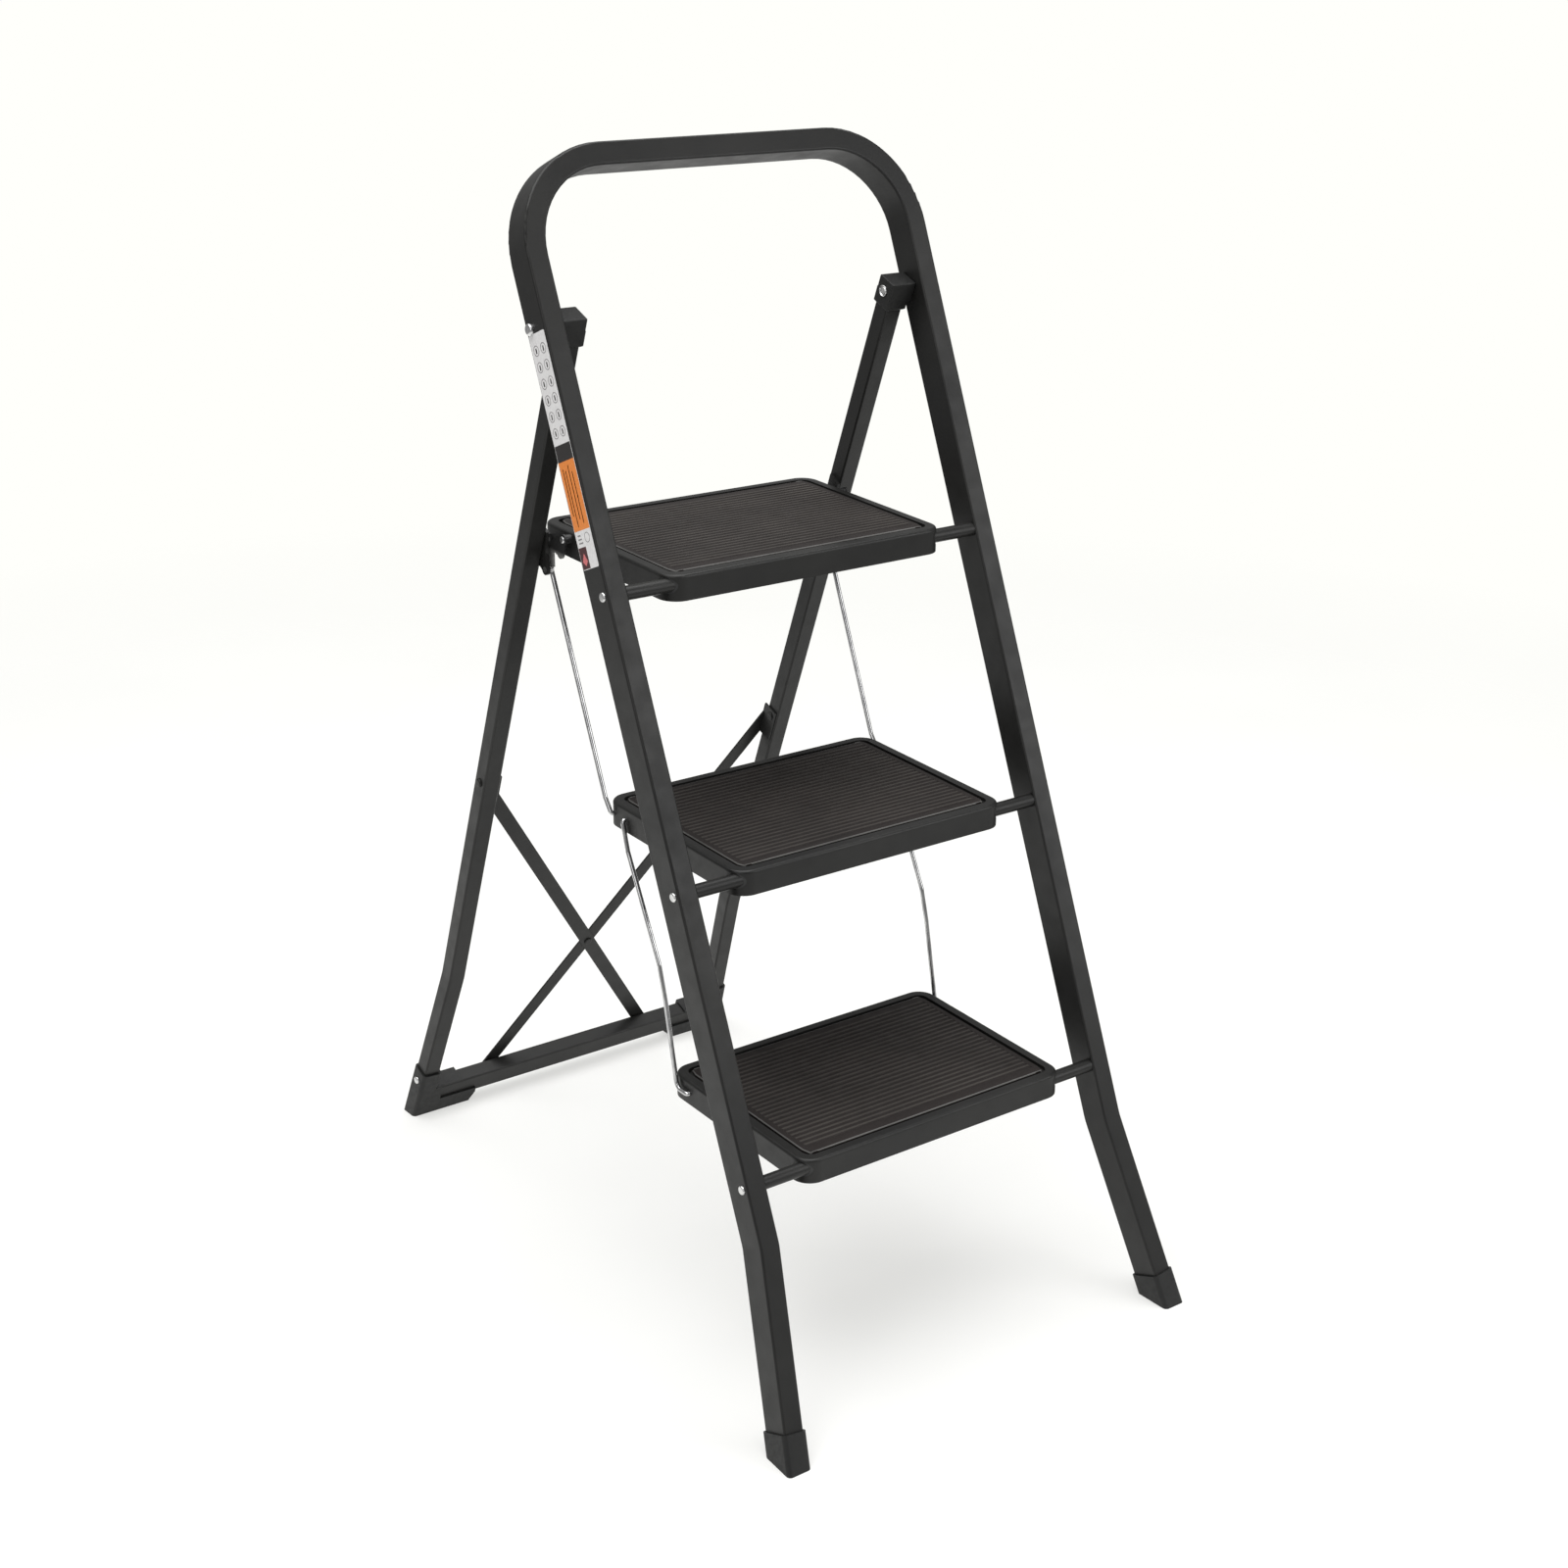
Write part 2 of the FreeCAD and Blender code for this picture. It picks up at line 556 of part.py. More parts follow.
def latch_pin():
    at = PIVOTS[0] + Vec(0, PIN_AT[0], PIN_AT[1])
    pin = rod(PIN_RADIUS, at + X_AXIS * PIN_END_X, at + X_AXIS * leg_inner_x())
    end = [e for e in pin.Edges if abs(e.CenterOfMass.x - PIN_END_X) < 0.01 and e.Length > PIN_RADIUS]
    return pin.makeChamfer(0.6, end)


# ---- steps, each about its own pivot axis ------------------------------------
def pan_slab(inset, corner, z0, z1):
    return rounded_slab(-STEP_HALF + inset, STEP_HALF - inset, STEP_FRONT + inset,
                        STEP_FRONT + STEP_DEPTH - inset, corner, z0, z1)


def step_pan(wire_holes):
    """Pressed steel tread, open below, with a tray for the mat."""
    bottom = STEP_TOP - STEP_SKIRT
    outer = pan_slab(0, STEP_CORNER, bottom, STEP_TOP)
    rim = [e for e in outer.Edges if abs(e.CenterOfMass.z - STEP_TOP) < 0.01]
    outer = outer.makeFillet(STEP_ROLL, rim)
    cavity = pan_slab(SHEET, STEP_CORNER - SHEET, bottom, STEP_TOP - SHEET)
    tray = pan_slab(MAT_RIM - SHEET, MAT_CORNER + SHEET, STEP_TOP - MAT_RECESS - SHEET, STEP_TOP)
    pocket = pan_slab(MAT_RIM, MAT_CORNER, STEP_TOP - MAT_RECESS, STEP_TOP)
    pan = outer.cut(cavity.cut(tray)).cut(pocket)
    span = Vec(STEP_HALF + 1, 0, 0)
    pan = pan.cut(rod(bush_radius(), span * -1, span))
    for (y, z), clearance in wire_holes:
        at = Vec(0, y, z)
        pan = pan.cut(rod(LINK_RADIUS + clearance, at - span, at + span))
    return pan


def bush_radius():
    return PIVOT_RADIUS + BUSH_WALL


def step_mat():
    base = STEP_TOP - MAT_RECESS
    return pan_slab(MAT_RIM + MAT_GAP, MAT_CORNER - MAT_GAP, base, base + MAT_THICK)


def step_bush():
    """Nylon bush in the right side of the pan, cut to the pan's rounded corner."""
    sleeve = rod(bush_radius(), Vec(138, 0, 0), Vec(STEP_HALF, 0, 0))
    sleeve = sleeve.common(pan_slab(SLACK, STEP_CORNER - SLACK, -bush_radius(), STEP_TOP))
    collar = rod(10.0, Vec(138, 0, 0), Vec(139.6, 0, 0))
    collar = collar.common(box(130, 150, -6.0, 20, -20, STEP_TOP - MAT_RECESS - SHEET))
    bore = rod(PIVOT_RADIUS + RUN_CLEARANCE, Vec(130, 0, 0), Vec(160, 0, 0))
    return sleeve.fuse(collar).cut(bore)


def latch_hook():
    """Plate outside the wires on the top step; its foot stands on the pin."""
    ry, rz = HOOK_RIVET_AT
    x0 = HOOK_X
    x1 = HOOK_X + PLATE
    front, back = HOOK_FOOT
    ay, az = HOOK_ARCH_AT
    head = rod(5.0, Vec(x0, ry, rz), Vec(x1, ry, rz))
    outline = [Vec(x0, ry - 4.3, rz - 2.7), Vec(x0, ry + 2.5, rz + 4.4), Vec(x0, back, rz - 9.0),
               Vec(x0, back, HOOK_WEB_BOTTOM), Vec(x0, HOOK_LOBE_AT[0], HOOK_WEB_BOTTOM),
               Vec(x0, HOOK_LOBE_AT[0] - 5.0, HOOK_LOBE_AT[1] - 2.0)]
    web = Part.Face(Part.makePolygon(outline + outline[:1])).extrude(X_AXIS * PLATE)
    lobe = rod(HOOK_LOBE_RADIUS, Vec(x0, *HOOK_LOBE_AT), Vec(x1, *HOOK_LOBE_AT))
    foot = box(x0, x1, front, back, HOOK_FOOT_BOTTOM, HOOK_WEB_BOTTOM)
    foot = foot.makeFillet(1.0, [e for e in foot.Edges if abs(e.CenterOfMass.z - HOOK_FOOT_BOTTOM) < 0.1
                                 and abs(e.CenterOfMass.x - (x0 + x1) / 2) < 0.1])
    cuts = [rod(HOOK_ARCH_RADIUS, Vec(x0, ay, az), Vec(x1, ay, az)),
            box(x0, x1, ay - HOOK_ARCH_RADIUS, ay + HOOK_ARCH_RADIUS, az - 30, az),
            rod(PIN_RADIUS + SLACK, Vec(x0, *PIN_AT), Vec(x1, *PIN_AT)),
            rod(SMALL_RIVET_RADIUS, Vec(x0, ry, rz), Vec(x1, ry, rz))]
    return web.fuse([head, lobe, foot]).removeSplitter().cut(cuts)


def latch_hook_rivet():
    y, z = HOOK_RIVET_AT
    inner = STEP_HALF - SHEET
    outer = HOOK_X + PLATE
    shank = rod(SMALL_RIVET_RADIUS, Vec(inner, y, z), Vec(outer, y, z))
    outside = dome(*HOOK_OUTER_HEAD, Vec(outer, y, z), X_AXIS)
    inside = dome(*HOOK_INNER_HEAD, Vec(inner, y, z), X_AXIS * -1)
    return shank.fuse([outside, inside]).removeSplitter()


def latch_spacer():
    """Ring that stands the hook off the pan's side, clear of the wire."""
    y, z = HOOK_RIVET_AT
    ring = rod(4.2, Vec(STEP_HALF, y, z), Vec(HOOK_X, y, z))
    return ring.cut(rod(SMALL_RIVET_RADIUS, Vec(STEP_HALF - 1, y, z), Vec(HOOK_X + 1, y, z)))


# ---- connecting wires --------------------------------------------------------
def wire_link(index, hole, bends):
    """Right-hand wire: in through one step, down outside, in through the next."""
    top = PIVOTS[index] + Vec(0, *hole)
    low = PIVOTS[index + 1] + Vec(0, *hole)
    down_rail = (low - top).normalize()
    behind = X_AXIS.cross(down_rail)
    outside = X_AXIS * LINK_X
    points = [top + X_AXIS * LINK_END_X, top + outside]
    points += [top + outside + down_rail * along + behind * back for along, back in bends]
    points += [low + outside, low + X_AXIS * LINK_END_X]
    radii = [LINK_END_BEND] + [LINK_BEND] * len(bends) + [LINK_END_BEND]
    wire = swept(bent_path(points, radii), Part.Wire(Part.makeCircle(LINK_RADIUS, points[0], X_AXIS)))
    heads = [Part.makeCylinder(LINK_HEAD_RADIUS, 1.5, at + X_AXIS * LINK_END_X, X_AXIS) for at in (top, low)]
    return wire.fuse(heads).removeSplitter()


# ---- build -------------------------------------------------------------------
def save_pair(name, right_shape):
    save(name + "_right", right_shape)
    save(name + "_left", mirrored(right_shape))


def build_front_frame():
    tube, form = front_hoop()
    save("front_hoop", above(placed(tube.cut(rail_holes()), RAIL), FLOOR_PAD))
    save_pair("front_foot", front_foot(form))
    for index, name in enumerate(STEP_NAMES):
        save(name + "_pivot_rod", pivot_rod(index))
    save("rail_rivets", rail_rivets())
    save("hinge_bolts", both_sides(hinge_bolt()))
    save("hinge_nuts", both_sides(hinge_nut()))
    save("rail_label", rail_label())


def build_rear_frame():
    tube, form = rear_leg()
    bar, bar_form = rear_crossbar()
    save_pair("rear_leg", above(placed(tube.cut(leg_bores()), LEG), FLOOR_PAD))
    save_pair("hinge_cap", placed(hinge_cap(form), LEG))
    save("rear_crossbar", placed(bar.cut(bar_rivet_bores()), LEG))
    save_pair("rear_foot", rear_foot(form, bar_form))
    save("rear_foot_bolts", both_sides(placed(foot_bolt(), LEG)))
    save("brace_strap_left", placed(brace_strap(-1, 0), LEG))
    save("brace_strap_right", placed(brace_strap(1, 1), LEG))
    save("brace_centre_rivet", placed(brace_centre_rivet(), LEG))
    save("brace_leg_rivets", both_sides(placed(brace_leg_rivet(), LEG)))
    rivets = [brace_bar_rivet(-1, 0), brace_bar_rivet(1, 1)]
    save("brace_bar_rivets", placed(Part.makeCompound(rivets), LEG))
    save_pair("latch_bracket", placed(latch_bracket(), LEG))
    save("latch_pins", both_sides(latch_pin()))


def bar_rivet_bores():
    bores = []
    for x in STRAP_BAR_X.values():
        back = Vec(x, LEG_DEPTH / 2, bar_middle())
        bores.append(rod(SMALL_RIVET_RADIUS, back - Y_AXIS * 4, back + Y_AXIS))
    return Part.makeCompound(bores)


def build_steps():
    turning = RUN_CLEARANCE
    loose = OPEN_PIVOT_CLEARANCE
    holes = [[(UPPER_HOLE, turning)],
             [(UPPER_HOLE, loose), (LOWER_HOLE, turning)],
             [(LOWER_HOLE, loose)]]
    for index, name in enumerate(STEP_NAMES):
        place = FreeCAD.Placement(PIVOTS[index], FreeCAD.Rotation())
        pan = step_pan(holes[index])
        if index == 0:
            y, z = HOOK_RIVET_AT
            pan = pan.cut(rod(SMALL_RIVET_RADIUS, Vec(-160, y, z), Vec(160, y, z)))
        save(name + "_step_pan", placed(pan, place))
        save(name + "_step_mat", placed(step_mat(), place))
        save(name + "_step_bushes", both_sides(placed(step_bush(), place)))
    place = FreeCAD.Placement(PIVOTS[0], FreeCAD.Rotation())
    save_pair("latch_hook", placed(latch_hook(), place))
    save("latch_hook_rivets", both_sides(placed(latch_hook_rivet(), place)))
    save("latch_spacers", both_sides(placed(latch_spacer(), place)))


def main():
    os.makedirs("parts", exist_ok=True)
    print("hinge axis", HINGE)
    for name, pivot in zip(STEP_NAMES, PIVOTS):
        print(name, "step pivot", pivot)
    build_front_frame()
    build_rear_frame()
    build_steps()
    save_pair("upper_link", wire_link(0, UPPER_HOLE, UPPER_BENDS))
    save_pair("lower_link", wire_link(1, LOWER_HOLE, LOWER_BENDS))


main()
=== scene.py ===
"""Studio picture of a folding three-step stool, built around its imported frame."""
import json
import math

import bmesh
import bpy
from mathutils import Matrix, Vector


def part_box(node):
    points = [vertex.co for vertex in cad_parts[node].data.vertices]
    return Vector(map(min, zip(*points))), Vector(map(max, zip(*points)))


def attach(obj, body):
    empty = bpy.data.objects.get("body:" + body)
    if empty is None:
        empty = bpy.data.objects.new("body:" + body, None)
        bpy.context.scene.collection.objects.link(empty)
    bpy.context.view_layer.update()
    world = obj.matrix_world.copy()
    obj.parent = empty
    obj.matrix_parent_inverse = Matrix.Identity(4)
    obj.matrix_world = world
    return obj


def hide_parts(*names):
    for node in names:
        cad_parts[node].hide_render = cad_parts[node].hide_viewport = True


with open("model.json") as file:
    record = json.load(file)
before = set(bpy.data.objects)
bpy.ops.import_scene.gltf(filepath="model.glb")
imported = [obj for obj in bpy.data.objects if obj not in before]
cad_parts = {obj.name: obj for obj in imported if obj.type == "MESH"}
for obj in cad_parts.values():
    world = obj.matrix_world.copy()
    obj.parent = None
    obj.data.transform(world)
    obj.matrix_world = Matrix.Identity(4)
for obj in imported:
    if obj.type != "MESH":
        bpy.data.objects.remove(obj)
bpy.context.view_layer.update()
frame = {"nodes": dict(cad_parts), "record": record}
nodes = frame["nodes"]

# ---- sizes, metres -----------------------------------------------------------
MM = 0.001
FRONT_LEAN = math.radians(23.5)     # rails against the vertical

RIB_PITCH = 6.8 * MM
RIB_HEIGHT = 0.9 * MM
RIB_BORDER = 6.5 * MM               # plain rubber around the ribs
RIB_END_RAMP = 1.0 * MM
MAT_CORNER = 6.0 * MM
MAT_INSET = 1.5 * MM                # wider groove than the CAD mat leaves
MAT_EDGE_ROUND = 0.9 * MM

LABEL_WIDTH = 27.6 * MM
LABEL_LENGTH = 200.0 * MM
LABEL_CORNER = 1.5 * MM
LABEL_MARGIN = 0.4 * MM             # plain film beside the colour bands
FILM_THICK = 0.2 * MM
PRINT_LIFT = 0.26 * MM
# The print, from the label's lower end and its middle line, in millimetres.
BLACK_BAND = (92.0, 106.0)
ORANGE_BAND = (33.0, 92.0)
BROWN_LINES = ((-6.0, 38.0, 82.0), (-1.0, 42.0, 88.0), (4.5, 36.0, 84.0), (8.5, 46.0, 86.0))
BROWN_LINE_WIDTH = 1.2
LINE_BREAK = 1.5                    # gap in the middle of each brown line
MAROON_BLOCK = (0.5, 0.6, 19.0)     # inner edge, lower end, upper end
LOZENGE = ((2.5, 7.0), (6.5, 3.0), (11.0, 7.0), (6.5, 14.0))
SIGN_ROWS = 6
SIGN_START = 116.0
SIGN_PITCH = 14.0
SIGN_ACROSS = 6.2
SIGN_RADIUS = 4.6

HOOK_BARE = 17.0 * MM               # bare metal above the hook's foot
HOOK_WEAR = (-1.5 * MM, 2.5 * MM)   # the worn edge fades out over this height
ZINC_METALLIC = 0.45                # dull zinc keeps some of its own grey

FLOOR_FADE = (1.3, 2.6)             # the floor fades out between these radii
FLOOR_GLOW = 0.55                   # keeps the shadows on the floor faint
AMBIENT_STRENGTH = 0.33
LIGHT_TARGET = Vector((0, 0, 0.5))
OVERHEAD_WATTS = 140
FRONT_RIGHT_WATTS = 22
FRONT_LEFT_WATTS = 12

CAMERA_AT = Vector((-1.2555, -1.8094, 1.3389))
CAMERA_YAW = math.radians(39.89)    # turned from +Y towards +X
CAMERA_PITCH = math.radians(-24.39)
CAMERA_ROLL = math.radians(2.33)
CAMERA_LENS = 56.92                 # millimetres on a 36 mm sensor
CAMERA_SHIFT = (-0.1128, 0.0792)


# ---- material helpers --------------------------------------------------------
class Shader:
    """A material's node tree, with short ways to add and join nodes."""

    def __init__(self, name):
        self.material = bpy.data.materials.new(name)
        self.material.use_nodes = True
        self.tree = self.material.node_tree
        self.bsdf = self.tree.nodes["Principled BSDF"]
        self.coords = self.add("ShaderNodeTexCoord").outputs["Object"]

    def add(self, kind, **settings):
        node = self.tree.nodes.new(kind)
        for key, value in settings.items():
            setattr(node, key, value)
        return node

    def join(self, source, target):
        self.tree.links.new(source, target)

    def noise(self, scale, detail=4.0, roughness=0.5, stretch=(1, 1, 1)):
        mapping = self.add("ShaderNodeMapping")
        mapping.inputs["Scale"].default_value = stretch
        self.join(self.coords, mapping.inputs["Vector"])
        noise = self.add("ShaderNodeTexNoise")
        noise.inputs["Scale"].default_value = scale
        noise.inputs["Detail"].default_value = detail
        noise.inputs["Roughness"].default_value = roughness
        self.join(mapping.outputs["Vector"], noise.inputs["Vector"])
        return noise.outputs["Fac"]

    def ramp(self, value, low, high, low_at=0.35, high_at=0.65):
        """A colour that runs from low to high as value does."""
        ramp = self.add("ShaderNodeValToRGB")
        ramp.color_ramp.elements[0].position = low_at
        ramp.color_ramp.elements[0].color = (*low, 1)
        ramp.color_ramp.elements[1].position = high_at
        ramp.color_ramp.elements[1].color = (*high, 1)
        self.join(value, ramp.inputs["Fac"])
        return ramp.outputs["Color"]

    def span(self, value, low, high, low_at=0.3, high_at=0.7):
        """A number that runs from low to high as value does."""
        node = self.add("ShaderNodeMapRange")
        node.inputs["From Min"].default_value = low_at
        node.inputs["From Max"].default_value = high_at
        node.inputs["To Min"].default_value = low
        node.inputs["To Max"].default_value = high
        self.join(value, node.inputs["Value"])
        return node.outputs["Result"]

    def bump(self, height, distance, strength=1.0):
        node = self.add("ShaderNodeBump")
        node.inputs["Strength"].default_value = strength
        node.inputs["Distance"].default_value = distance
        self.join(height, node.inputs["Height"])
        self.join(node.outputs["Normal"], self.bsdf.inputs["Normal"])
        return node

    def set(self, **values):
        for key, value in values.items():
            self.bsdf.inputs[key.replace("_", " ")].default_value = value


def powder_paint():
    """Black satin powder coat: fine orange peel and a slight drift in gloss."""
    s = Shader("black_powder_paint")
    drift = s.noise(9.0, 3.0)
    s.join(s.ramp(drift, (0.0085, 0.0085, 0.0082), (0.0135, 0.0133, 0.0125)), s.bsdf.inputs["Base Color"])
    s.join(s.span(s.noise(60.0, 5.0), 0.34, 0.46), s.bsdf.inputs["Roughness"])
    s.bump(s.noise(900.0, 2.0), 0.00025, 0.2)
    s.set(Specular_IOR_Level=0.32)
    return s.material


def moulded_plastic():
    """Black moulded plastic with a fine spark-eroded grain."""
    s = Shader("black_moulded_plastic")
    drift = s.noise(25.0, 4.0)
    s.join(s.ramp(drift, (0.008, 0.0082, 0.0082), (0.0135, 0.0135, 0.013)), s.bsdf.inputs["Base Color"])
    s.join(s.span(s.noise(200.0, 4.0), 0.45, 0.62), s.bsdf.inputs["Roughness"])
    s.bump(s.noise(1400.0, 2.0), 0.0003, 0.35)
    s.set(Specular_IOR_Level=0.35)
    return s.material


def rubber(name, low, high):
    """Brown-black rubber whose colour drifts between low and high."""
    s = Shader(name)
    s.join(s.ramp(s.noise(14.0, 6.0, 0.6), low, high), s.bsdf.inputs["Base Color"])
    s.join(s.span(s.noise(90.0, 5.0), 0.55, 0.75), s.bsdf.inputs["Roughness"])
    s.bump(s.noise(1800.0, 3.0), 0.0002, 0.4)
    s.set(Specular_IOR_Level=0.3)
    return s.material


def tread_rubber():
    return rubber("tread_rubber", (0.0095, 0.0068, 0.006), (0.0145, 0.0105, 0.0095))


def crest_highlight_rubber():
    """The same rubber painted lighter on the ribs' crests: a painted highlight."""
    return rubber("tread_rubber_crest_highlight", (0.030, 0.026, 0.023), (0.046, 0.041, 0.036))


def edge_highlight_rubber():
    """The mat's outer edge, painted much lighter as a highlight where its rounding catches the light."""
    return rubber("tread_rubber_edge_highlight", (0.075, 0.073, 0.070), (0.12, 0.118, 0.114))


def nylon():
    s = Shader("bush_nylon")
    s.join(s.ramp(s.noise(40.0), (0.012, 0.012, 0.0125), (0.022, 0.022, 0.022)), s.bsdf.inputs["Base Color"])
    s.join(s.span(s.noise(120.0), 0.35, 0.5), s.bsdf.inputs["Roughness"])
    s.bump(s.noise(600.0), 0.0001, 0.3)
    return s.material


def bright_zinc():
    """Zinc-plated steel of rivets and bolts, with faint crystal mottling."""
    s = Shader("bright_zinc")
    s.join(s.ramp(s.noise(300.0, 5.0), (0.55, 0.55, 0.56), (0.78, 0.78, 0.77)), s.bsdf.inputs["Base Color"])
    s.join(s.span(s.noise(500.0, 3.0), 0.18, 0.34), s.bsdf.inputs["Roughness"])
    s.bump(s.noise(700.0, 3.0), 0.0001, 0.25)
    s.set(Metallic=1.0)
    return s.material


def worn_hook_plate():
    """Stamped plate, black above and worn to bare zinc towards its foot."""
    s = Shader("worn_hook_plate")
    height = s.add("ShaderNodeSeparateXYZ")
    s.join(s.coords, height.inputs[0])
    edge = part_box("latch_hook_left")[0].z + HOOK_BARE
    scuff = s.add("ShaderNodeMath", operation="MULTIPLY_ADD")
    s.join(s.noise(260.0, 4.0), scuff.inputs[0])
    scuff.inputs[1].default_value = 3.0 * MM
    s.join(height.outputs["Z"], scuff.inputs[2])
    bare = s.span(scuff.outputs[0], 1.0, 0.0, edge + HOOK_WEAR[0], edge + HOOK_WEAR[1])
    zinc = s.ramp(s.noise(120.0, 6.0), (0.17, 0.17, 0.165), (0.30, 0.30, 0.29))
    colour = s.add("ShaderNodeMix", data_type="RGBA")
    s.join(bare, colour.inputs["Factor"])
    colour.inputs["A"].default_value = (0.010, 0.010, 0.0098, 1)
    s.join(zinc, colour.inputs["B"])
    s.join(colour.outputs["Result"], s.bsdf.inputs["Base Color"])
    metal = s.span(scuff.outputs[0], ZINC_METALLIC, 0.0, edge + HOOK_WEAR[0], edge + HOOK_WEAR[1])
    s.join(metal, s.bsdf.inputs["Metallic"])
    s.join(s.span(s.noise(260.0, 4.0), 0.34, 0.5), s.bsdf.inputs["Roughness"])
    s.bump(s.noise(500.0, 4.0), 0.00015, 0.3)
    return s.material


def bright_wire():
    """Plated wire with fine drawing marks along its length."""
    s = Shader("bright_wire")
    s.join(s.ramp(s.noise(80.0, 5.0), (0.40, 0.40, 0.41), (0.62, 0.62, 0.62)), s.bsdf.inputs["Base Color"])
    s.join(s.span(s.noise(400.0, 3.0, stretch=(1, 1, 0.05)), 0.10, 0.22), s.bsdf.inputs["Roughness"])
    s.bump(s.noise(2200.0, 2.0, stretch=(1, 1, 0.03)), 0.00008, 0.2)
    s.set(Metallic=1.0)
    return s.material


def print_ink(name, low, high, roughness=0.32):
    """One flat printed colour, with the faint mottle of ink on film."""
    s = Shader(name)
    s.join(s.ramp(s.noise(400.0, 3.0), low, high), s.bsdf.inputs["Base Color"])
    s.join(s.span(s.noise(90.0), roughness - 0.05, roughness + 0.08), s.bsdf.inputs["Roughness"])
    s.bump(s.noise(1500.0), 0.00005, 0.2)
    return s.material


def floor_paper():
    """White paper that fades out into the white surroundings."""
    s = Shader("floor_paper")
    s.join(s.ramp(s.noise(3.0), (0.40, 0.40, 0.395), (0.42, 0.42, 0.415)), s.bsdf.inputs["Base Color"])
    s.set(Roughness=0.9, Specular_IOR_Level=0.1)
    s.set(Emission_Color=(1.0, 1.0, 0.975, 1), Emission_Strength=FLOOR_GLOW)
    length = s.add("ShaderNodeVectorMath", operation="LENGTH")
    s.join(s.coords, length.inputs[0])
    s.join(s.span(length.outputs["Value"], 1.0, 0.0, FLOOR_FADE[0], FLOOR_FADE[1]), s.bsdf.inputs["Alpha"])
    return s.material


# ---- mesh helpers ------------------------------------------------------------
def mesh_object(name, build, material, smooth_angle=35):
    mesh = bpy.data.meshes.new(name)
    bm = bmesh.new()
    build(bm)
    bmesh.ops.recalc_face_normals(bm, faces=bm.faces)
    bm.to_mesh(mesh)
    bm.free()
    mesh.materials.append(material)
    piece = bpy.data.objects.new(name, mesh)
    bpy.context.scene.collection.objects.link(piece)
    mesh.shade_smooth()
    mesh.set_sharp_from_angle(angle=math.radians(smooth_angle))
    return piece


# ---- treads ------------------------------------------------------------------
def rounded_half_width(half, corner, from_end):
    """Half width of a rounded rectangle at a distance from its end."""
    if from_end >= corner:
        return half
    rise = corner - from_end
    return half - corner + math.sqrt(max(corner * corner - rise * rise, 0))


def ribbed_mat(step):
    """Rubber mat with ribs from side to side inside a plain border."""
    node = step + "_step_mat"
    low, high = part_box(node)
    low.y += MAT_INSET
    high.y -= MAT_INSET
    half = high.x - MAT_INSET
    top = high.z
    valley = top - RIB_HEIGHT
    length = high.y - low.y

    def profile():
        """Distance from the front edge, and height, along the mat's middle."""
        yield MAT_EDGE_ROUND * 0.3, top - MAT_EDGE_ROUND
        yield MAT_EDGE_ROUND * 0.6, top - MAT_EDGE_ROUND * 0.3
        yield MAT_EDGE_ROUND * 1.6, top
        ribs = int((length - 2 * RIB_BORDER) / RIB_PITCH)
        start = (length - ribs * RIB_PITCH) / 2
        for i in range(ribs):
            base = start + i * RIB_PITCH
            for part, height in ((0.04, top), (0.18, valley), (0.52, valley), (0.66, top), (1.0, top)):
                yield base + part * RIB_PITCH, height
        yield length - MAT_EDGE_ROUND * 1.6, top
        yield length - MAT_EDGE_ROUND * 0.6, top - MAT_EDGE_ROUND * 0.3
        yield length - MAT_EDGE_ROUND * 0.3, top - MAT_EDGE_ROUND

    def on_crest(vertex):
        """Whether a vertex of a ribbed row lies on top of a rib."""
        inside = low.y + RIB_BORDER < vertex.co.y < high.y - RIB_BORDER
        return inside and vertex.co.z > top - RIB_HEIGHT / 2

    def build(bm):
        rows = []
        for distance, height in profile():
            reach = rounded_half_width(half, MAT_CORNER, min(distance, length - distance))
            inner = reach - RIB_BORDER
            y = low.y + distance
            edge = top - MAT_EDGE_ROUND
            line = [(-reach, low.z), (-reach, edge), (-reach + MAT_EDGE_ROUND, top),
                    (-inner - RIB_END_RAMP, top), (-inner, height),
                    (inner, height), (inner + RIB_END_RAMP, top),
                    (reach - MAT_EDGE_ROUND, top), (reach, edge), (reach, low.z)]
            rows.append([bm.verts.new((x, y, z)) for x, z in line])
        for a, b in zip(rows, rows[1:]):
            for i in range(len(a) - 1):
                face = bm.faces.new((a[i], a[i + 1], b[i + 1], b[i]))
                # Crest faces take the lighter rubber: a painted highlight on the ribs.
                on_rib = i == len(a) // 2 - 1 and on_crest(a[i]) and on_crest(b[i])
                # Edge-rounding faces take the pale rubber: a painted highlight along the mat's edge.
                on_edge_highlight = i in (1, len(a) - 3) or a in rows[:2] or b in rows[-2:]
                if on_edge_highlight:
                    face.material_index = 2
                elif on_rib:
                    face.material_index = 1
            bm.faces.new((a[-1], a[0], b[0], b[-1]))
        bm.faces.new(rows[0])
        bm.faces.new(list(reversed(rows[-1])))

    piece = mesh_object(node + "_ribbed", build, materials["tread_rubber"], 20)
    piece.data.materials.append(rib_crest_highlight)
    piece.data.materials.append(mat_edge_highlight)
    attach(piece, "step_" + step)
    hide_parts(node)


